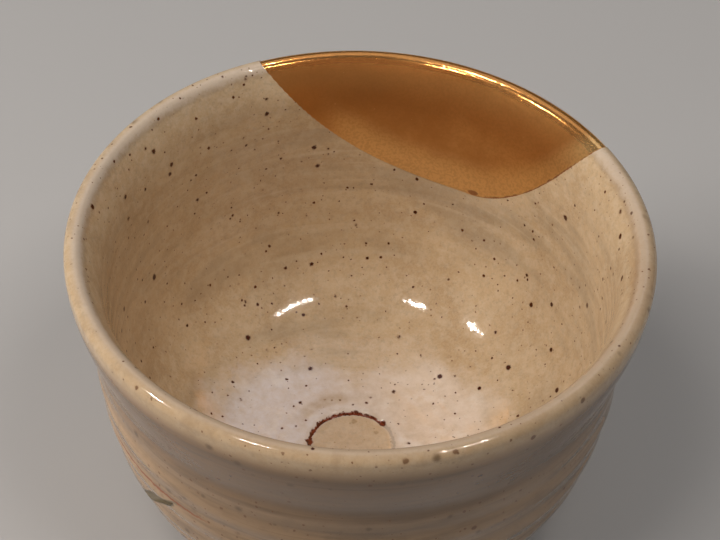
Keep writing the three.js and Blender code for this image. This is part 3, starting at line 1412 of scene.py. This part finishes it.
@dataclass(frozen=True)
class GoldLacquer:
    """Lacquer dusted with gold and burnished by hand."""

    # A satin metal that mirrors the buff wall before it as a warm brown gold. Fine grain and rubbing marks
    # soften it, the lip is brighter, and red lacquer shows where the edge is worn. Bearings here are radians.
    name: str = "burnished_gold_lacquer"
    gold: str = "#dca463"
    deep: str = "#be8449"
    bright: str = "#f4c684"
    ruddy: str = "#d29050"
    sheen: str = "#ffce84"
    lacquer: str = "#6a3018"
    metallic: float = 0.9
    powder_heights: Fade = (66.0, 73.0)
    powder_loss: float = -0.06
    worn_loss: float = -0.7
    roughness: float = 0.3
    rough_swing: float = 0.12
    rub_roughness: float = 0.1
    lip_edge: Fade = (74.6, 76.4)
    lip_roughness: float = 0.14

    # Tones: clouded gold, ruddy under the lip, deep on the left, and a painted reflection of the bowl's pale
    # floor along the lower right edge.
    cloud_size: float = 12.0
    cloud_fade: Fade = (0.3, 0.7)
    ruddy_start: Fade = (58.0, 70.0)
    ruddy_end: Fade = (79.0, 75.5)
    ruddy_strength: float = 0.75
    deep_bearings: Fade = (1.15, 1.65)
    deep_strength: float = 0.5
    floor_reflection_gap: Fade = (11.0, 3.0)
    floor_reflection_bearings: Fade = (1.78, 1.58)
    floor_reflection_strength: float = 0.8
    grain: Veil = Veil(deep, 0.6, 2.0, 0.5, (0.42, 0.62), 0.3)
    dots: SpeckSize = SpeckSize(2.2, 0.1, 0.2, 0.9)
    dot_strength: float = 0.6

    # Wear: lacquer bare along the lower right edge, and one chip in it.
    wear_bearing: float = math.radians(61.0)
    wear_reach: float = 26.0
    wear_strength: float = 0.85
    chip_gap: float = 0.7
    chip_edge: Fade = (0.8, 0.5)
    rag_size: float = 2.2
    rag_reach: float = -1.6
    rag_edge: Fade = (-0.25, -0.75)
    rag_bearings: Fade = (1.3, 0.9)

    # Relief: upright rubbing marks and grain on low waves, with nicks along the lip.
    rub_width: float = 1.3
    rub_stretch: float = 0.1
    rub_rise: float = 0.012
    wave_size: float = 4.0
    wave_rise: float = 0.1
    nick_size: float = 1.1
    nick_rise: float = 0.035

    def material(self) -> bpy.types.Material:
        """Make the gold.

        Returns:
            The finished material.
        """
        brush = Brush(self.name)
        edge = brush.zone(Zone.EDGE_GAP)
        clouds = brush.cloud(brush.place, self.cloud_size, 4.0, 0.6)
        worn = self.worn(brush, edge)
        self.toned(brush, edge, clouds)
        brush.coat(self.lacquer, worn, self.wear_strength)
        brush.link("Base Color", brush.colour)
        brush.shader.inputs["Specular Tint"].default_value = linear(self.sheen)
        powder = brush.ease(brush.z, *self.powder_heights)
        powdery = brush.sum("MULTIPLY_ADD", powder, self.powder_loss, self.metallic)
        brush.link("Metallic", brush.sum("MULTIPLY_ADD", worn, self.worn_loss, powdery))

        lip = brush.ease(brush.z, *self.lip_edge)
        upright = brush.vector(brush.x, brush.y, brush.product(brush.z, self.rub_stretch))
        rub = brush.cloud(upright, self.rub_width, 2.0)
        even = self.roughness - self.rough_swing / 2.0
        uneven = brush.sum("MULTIPLY_ADD", clouds, self.rough_swing, even)
        satin = brush.sum("MULTIPLY_ADD", rub, self.rub_roughness, uneven)
        polish = brush.product(lip, brush.sum("SUBTRACT", self.lip_roughness, satin))
        brush.link("Roughness", brush.sum("ADD", satin, polish))

        grain = brush.product(brush.cloud(brush.place, self.grain.size, self.grain.detail), self.rub_rise)
        rubbed = brush.sum("MULTIPLY_ADD", rub, self.rub_rise, grain)
        low_waves = brush.cloud(brush.place, self.wave_size, 2.0)
        waves = brush.sum("MULTIPLY_ADD", low_waves, self.wave_rise, rubbed)
        nicks = brush.product(brush.cloud(brush.place, self.nick_size, 2.0), self.nick_rise)
        brush.bump(brush.sum("MULTIPLY_ADD", nicks, lip, waves))
        return brush.material

    def toned(self, brush: Brush, edge: Socket, clouds: Socket) -> None:
        """Mix the gold's tones.

        Args:
            brush: The material in hand.
            edge: The distance above the repair's lower edge.
            clouds: The broad clouding.
        """
        brush.colour = linear(self.deep)
        brush.coat(self.gold, brush.ease(clouds, *self.cloud_fade))
        under_lip = brush.between(brush.z, self.ruddy_start, self.ruddy_end)
        brush.coat(self.ruddy, under_lip, self.ruddy_strength)
        left = brush.ease(brush.bearing, *self.deep_bearings)
        brush.coat(self.deep, left, self.deep_strength)
        # Painted reflection: the gold is paled along its lower right edge, as if it mirrored the pale floor.
        low = brush.product(brush.ease(edge, *self.floor_reflection_gap), brush.ease(brush.bearing, *self.floor_reflection_bearings))
        brush.coat(self.bright, low, self.floor_reflection_strength)
        brush.veil(self.grain)
        brush.coat(self.bright, brush.specks(brush.place, self.dots), self.dot_strength)

    def worn(self, brush: Brush, edge: Socket) -> Socket:
        """Find where the gold is rubbed off to the lacquer.

        Args:
            brush: The material in hand.
            edge: The distance above the repair's lower edge.

        Returns:
            A number's socket, 1 where the lacquer is bare.
        """
        aside = brush.product(brush.sum("SUBTRACT", brush.bearing, self.wear_bearing), self.wear_reach)
        chip = brush.length(aside, brush.sum("SUBTRACT", edge, self.chip_gap))
        ragged = brush.sum("MULTIPLY_ADD", brush.cloud(brush.place, self.rag_size, 3.0), self.rag_reach, edge)
        right = brush.ease(brush.bearing, *self.rag_bearings)
        rubbed = brush.product(brush.ease(ragged, *self.rag_edge), right)
        return brush.sum("MAXIMUM", rubbed, brush.ease(chip, *self.chip_edge))


@dataclass
class Bowl:
    """The thrown bowl, with its throwing marks, slash, tea well and the notch that the repair fills."""

    form: WallForm
    loss: RimLoss
    marks: ThrowingMarks = field(default_factory=ThrowingMarks)
    slash: Slash = field(default_factory=Slash)
    glaze: SpeckledGlaze = field(default_factory=SpeckledGlaze)
    turns: int = 140
    outside_steps: int = 60
    lip_steps: int = 12
    inside_steps: int = 48
    floor_steps: int = 14
    well_blend: Fade = (17.0, 11.0)
    well_wall: Fade = (0.7, 0.3)

    def build(self) -> Piece:
        """Throw, cut and glaze the bowl.

        Returns:
            The finished bowl.
        """
        form = self.form
        floor = float(form.floor_depth(np.array([form.floor_radius]))[0])
        outline = (
            form.foot_outline()
            + form.outside_outline(form.height - form.foot_height, self.outside_steps)
            + form.lip_outline(self.lip_steps)
            + form.inside_outline(floor, self.inside_steps)
            + form.floor_outline(self.floor_steps)
        )
        bowl = turn_outline("tea_bowl", outline, 0.0, 360.0, self.turns)
        apply_subdivision(bowl, 1)
        self.press_marks(bowl)
        cut_with(bowl, self.slash.block(form), Cut.OUTSIDE_BLOCK)
        cut_with(bowl, self.loss.block(form), Cut.OUTSIDE_BLOCK)
        points = read_points(bowl)
        write_zone(bowl, Zone.INSIDE, form.inside_share(points))
        write_zone(bowl, Zone.SLASH, self.slash.share(form, points))
        finish_piece(bowl, "bowl", self.glaze.material(form, self.marks, self.slash))
        return bowl

    def press_marks(self, bowl: Piece) -> None:
        """Press the throwing marks into both sides of the wall, and set the well a little off the axis.

        Args:
            bowl: The turned wall.
        """
        points = read_points(bowl)
        normals = np.empty(points.size)
        bowl.data.vertices.foreach_get("normal", normals)
        radius = np.hypot(points[:, 0], points[:, 1])
        bearing = np.arctan2(points[:, 1], points[:, 0])
        inside = self.form.inside_share(points)
        pressed = self.marks.outside(self.form, bearing, points[:, 2]) * (1.0 - inside)
        pressed += self.marks.inside(self.form, bearing, points[:, 2], radius) * inside
        well = smooth_step(*self.well_blend, radius) * inside
        sunk = smooth_step(*self.well_wall, radius - self.form.well_radius) * inside
        facing = np.cos(bearing - math.radians(self.form.well_bearing))
        level = np.clip(0.5 - 0.5 * facing * radius / self.form.well_radius, 0.0, 1.0)
        uneven = self.marks.lip(self.form, bearing, points[:, 2]) - self.form.well_depth * level * sunk
        points -= normals.reshape(-1, 3) * pressed[:, None]
        points[:, :2] += np.outer(well, self.form.well_shift)
        points[:, 2] -= uneven
        write_points(bowl, points)


@dataclass
class GoldRepair:
    """The piece of wall made in gold lacquer, a little thinner outside than the glazed wall."""

    form: WallForm
    loss: RimLoss
    finish: GoldLacquer = field(default_factory=GoldLacquer)
    margin_angle: float = 6.0
    margin_depth: float = 4.0
    turns: int = 72
    outside_steps: int = 26
    lip_steps: int = 10
    inside_steps: int = 22
    inset: float = 0.22
    lip_reach: float = 2.5
    swell: float = 0.06

    def build(self) -> Piece:
        """Turn a stretch of smooth wall, cut it to the loss and gild it.

        Returns:
            The finished repair.
        """
        form = self.form
        lowest = self.loss.depth + self.margin_depth
        outline = (
            form.outside_outline(lowest, self.outside_steps)
            + form.lip_outline(self.lip_steps)
            + form.inside_outline(lowest, self.inside_steps)
        )
        outline.append(outline[0])
        start = self.loss.bearing - self.loss.right_angle - self.margin_angle
        sweep = self.loss.right_angle + self.loss.left_angle + 2.0 * self.margin_angle
        repair = turn_outline("gold_lacquer_repair", outline, start, sweep, self.turns)
        apply_subdivision(repair, 1)
        self.pare_down(repair)
        cut_with(repair, self.loss.block(form), Cut.INSIDE_BLOCK)
        write_zone(repair, Zone.EDGE_GAP, self.edge_gap(read_points(repair)))
        finish_piece(repair, "gold_rim_repair", self.finish.material())
        return repair

    def pare_down(self, repair: Piece) -> None:
        """Thin the outside and the lip, and leave the low swells of a surface rubbed down by hand.

        Args:
            repair: The turned wall.
        """
        points = read_points(repair)
        radius = np.hypot(points[:, 0], points[:, 1])
        bearing = np.arctan2(points[:, 1], points[:, 0])
        inside = self.form.inside_share(points)
        wave = np.sin(bearing * 9.0 + points[:, 2] * 0.25) * np.sin(points[:, 2] * 0.19 + bearing * 4.0)
        shift = -self.inset * (1.0 - inside) + self.swell * wave * inside
        points[:, 0] *= (radius + shift) / radius
        points[:, 1] *= (radius + shift) / radius
        points[:, 2] -= self.inset * smooth_step(self.lip_reach, 0.0, self.form.height - points[:, 2])
        write_points(repair, points)

    def edge_gap(self, points: np.ndarray) -> np.ndarray:
        """Measure how far each point lies above the repair's lower edge.

        Args:
            points: Rows of x, y and z.

        Returns:
            The distance in millimetres.
        """
        bearing = np.degrees(np.arctan2(points[:, 1], points[:, 0]))
        turn = bearing - self.loss.bearing
        share = turn / np.where(turn < 0.0, self.loss.right_angle, self.loss.left_angle)
        return self.loss.edge_depth(share) - (self.form.height - points[:, 2])


@dataclass(frozen=True)
class Lamp:
    """A studio lamp, aimed at the bowl, which lights it softly or only shows in the gloss."""

    name: str
    role: LampRole
    bearing: float
    rise: float
    width: float
    tall: float
    power: float
    distance: float = 1100.0
    colour: str = "#fff5ea"
    only: str = ""

    def place(self, target: Vector) -> None:
        """Set the lamp up.

        Args:
            target: The point that it is aimed at, in metres.
        """
        bearing = math.radians(self.bearing)
        rise = math.radians(self.rise)
        way = Vector(
            (math.cos(bearing) * math.cos(rise), math.sin(bearing) * math.cos(rise), math.sin(rise))
        )
        bpy.ops.object.select_all(action="DESELECT")
        bpy.ops.object.light_add(type="AREA", location=target + way * self.distance * MM)
        lamp = bpy.context.active_object
        lamp.name = self.name
        lamp.rotation_euler = way.to_track_quat("Z", "Y").to_euler()
        lamp.data.shape = "RECTANGLE"
        lamp.data.size = self.width * MM
        lamp.data.size_y = self.tall * MM
        lamp.data.energy = self.power
        lamp.data.color = linear(self.colour)[:3]
        lamp.visible_glossy = self.role is LampRole.BULB
        lamp.visible_diffuse = self.role is LampRole.SOFT_BOX
        if self.only:
            lit = bpy.data.collections.new(self.name + "_lights")
            lit.objects.link(bpy.data.objects[self.only])
            lamp.light_linking.receiver_collection = lit


@dataclass(frozen=True)
class Studio:
    """The pale floor, the soft lamps and the camera at the photograph's viewing angle."""

    form: WallForm
    floor_side: float = 6000.0
    floor_colour: str = "#bfc0c2"
    floor_cloud: float = 400.0
    floor_dim: float = 0.93
    floor_roughness: float = 0.8
    sky_colour: str = "#dcdfe3"
    sky_strength: float = 0.16
    camera_distance: float = 520.0
    camera_rise: float = 44.04
    camera_roll: float = 1.745
    aim_depth: float = 9.8
    picture_width: float = 720.0
    focal_pixels: float = 2532.6
    sensor_width: float = 36.0
    lamps: tuple[Lamp, ...] = (
        Lamp("low_soft_box", LampRole.SOFT_BOX, 193.0, 12.0, 380.0, 380.0, 3.6),
        Lamp("left_soft_box", LampRole.SOFT_BOX, 195.0, 37.0, 380.0, 380.0, 4.2),
        Lamp("front_soft_box", LampRole.SOFT_BOX, 222.0, 65.0, 380.0, 380.0, 3.5),
        Lamp("right_soft_box", LampRole.SOFT_BOX, 321.0, 65.0, 380.0, 380.0, 3.2),
        Lamp("back_card", LampRole.BULB, 92.0, 62.0, 700.0, 800.0, 1.2, colour="#eef2ff"),
        Lamp("front_card", LampRole.BULB, 270.0, 40.0, 1600.0, 1000.0, 1.3, colour="#c98a50"),
        Lamp("left_bulb", LampRole.BULB, 188.5, 44.0, 110.0, 44.0, 3.4),
        Lamp("front_bulb_1", LampRole.BULB, 218.0, 59.0, 24.0, 24.0, 0.9),
        Lamp("front_bulb_2", LampRole.BULB, 223.5, 59.0, 24.0, 24.0, 0.9),
        Lamp("front_bulb_3", LampRole.BULB, 229.5, 59.0, 24.0, 24.0, 0.7),
        Lamp("right_bulb_1", LampRole.BULB, 313.0, 60.0, 24.0, 24.0, 0.7),
        Lamp("right_bulb_2", LampRole.BULB, 325.0, 60.0, 24.0, 24.0, 0.9),
        Lamp("right_bulb_3", LampRole.BULB, 335.0, 60.0, 24.0, 24.0, 0.7),
        Lamp("over_left_bulb", LampRole.BULB, 153.5, 73.7, 26.0, 70.0, 2.4, only="gold_lacquer_repair"),
        Lamp("over_right_bulb", LampRole.BULB, 55.0, 68.8, 70.0, 26.0, 2.4, only="gold_lacquer_repair"),
    )

    def build(self) -> None:
        """Lay the floor, light it and set the camera."""
        self.lay_floor()
        self.light()
        self.set_camera()

    def lay_floor(self) -> None:
        """Lay a plain pale floor under the foot."""
        bpy.ops.object.select_all(action="DESELECT")
        bpy.ops.mesh.primitive_plane_add(size=self.floor_side * MM, location=(0.0, 0.0, 0.0))
        floor = bpy.context.active_object
        floor.name = "studio_floor"
        brush = Brush("matt_pale_paper")
        tone = brush.cloud(brush.place, self.floor_cloud, 2.0)
        pale = linear(self.floor_colour)
        dim = tuple(part * self.floor_dim for part in pale[:3]) + (1.0,)
        brush.link("Base Color", brush.blend(tone, dim, pale))
        brush.shader.inputs["Roughness"].default_value = self.floor_roughness
        floor.data.materials.append(brush.material)

    def light(self) -> None:
        """Place the lamps and a soft even sky."""
        target = Vector((0.0, 0.0, self.form.height * MM))
        for lamp in self.lamps:
            lamp.place(target)
        world = bpy.data.worlds.new("studio_sky")
        world.use_nodes = True
        sky = world.node_tree.nodes["Background"]
        sky.inputs["Color"].default_value = linear(self.sky_colour)
        sky.inputs["Strength"].default_value = self.sky_strength
        bpy.context.scene.world = world
        bpy.context.scene.view_settings.view_transform = "Standard"

    def set_camera(self) -> None:
        """Stand the camera in front of the bowl and above it, looking at the axis below the rim."""
        rise = math.radians(self.camera_rise)
        rim = Vector((0.0, 0.0, self.form.height * MM))
        away = Vector((0.0, -math.cos(rise), math.sin(rise))) * self.camera_distance * MM
        aim = rim - Vector((0.0, 0.0, self.aim_depth * MM))
        bpy.ops.object.select_all(action="DESELECT")
        bpy.ops.object.camera_add(location=rim + away)
        camera = bpy.context.active_object
        look = (rim + away - aim).to_track_quat("Z", "Y").to_matrix()
        camera.rotation_euler = (look @ Matrix.Rotation(math.radians(self.camera_roll), 3, "Z")).to_euler()
        camera.data.sensor_width = self.sensor_width
        camera.data.lens = self.focal_pixels / self.picture_width * self.sensor_width
        bpy.context.scene.camera = camera


def main() -> None:
    """Build the bowl, its repair and the studio, and report each piece."""
    logging.basicConfig(level=logging.INFO, format="%(name)s: %(message)s")
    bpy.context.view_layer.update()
    low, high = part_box("bowl")
    form = WallForm(height=high[2] / MM, rim_radius=(high[0] - low[0]) / 2.0 / MM)
    loss = RimLoss()
    for sub_assembly in (Bowl(form, loss), GoldRepair(form, loss)):
        piece = sub_assembly.build()
        LOG.info("%s has %d faces", piece.name, len(piece.data.polygons))
    Studio(form).build()


if __name__ == "__main__":
    main()
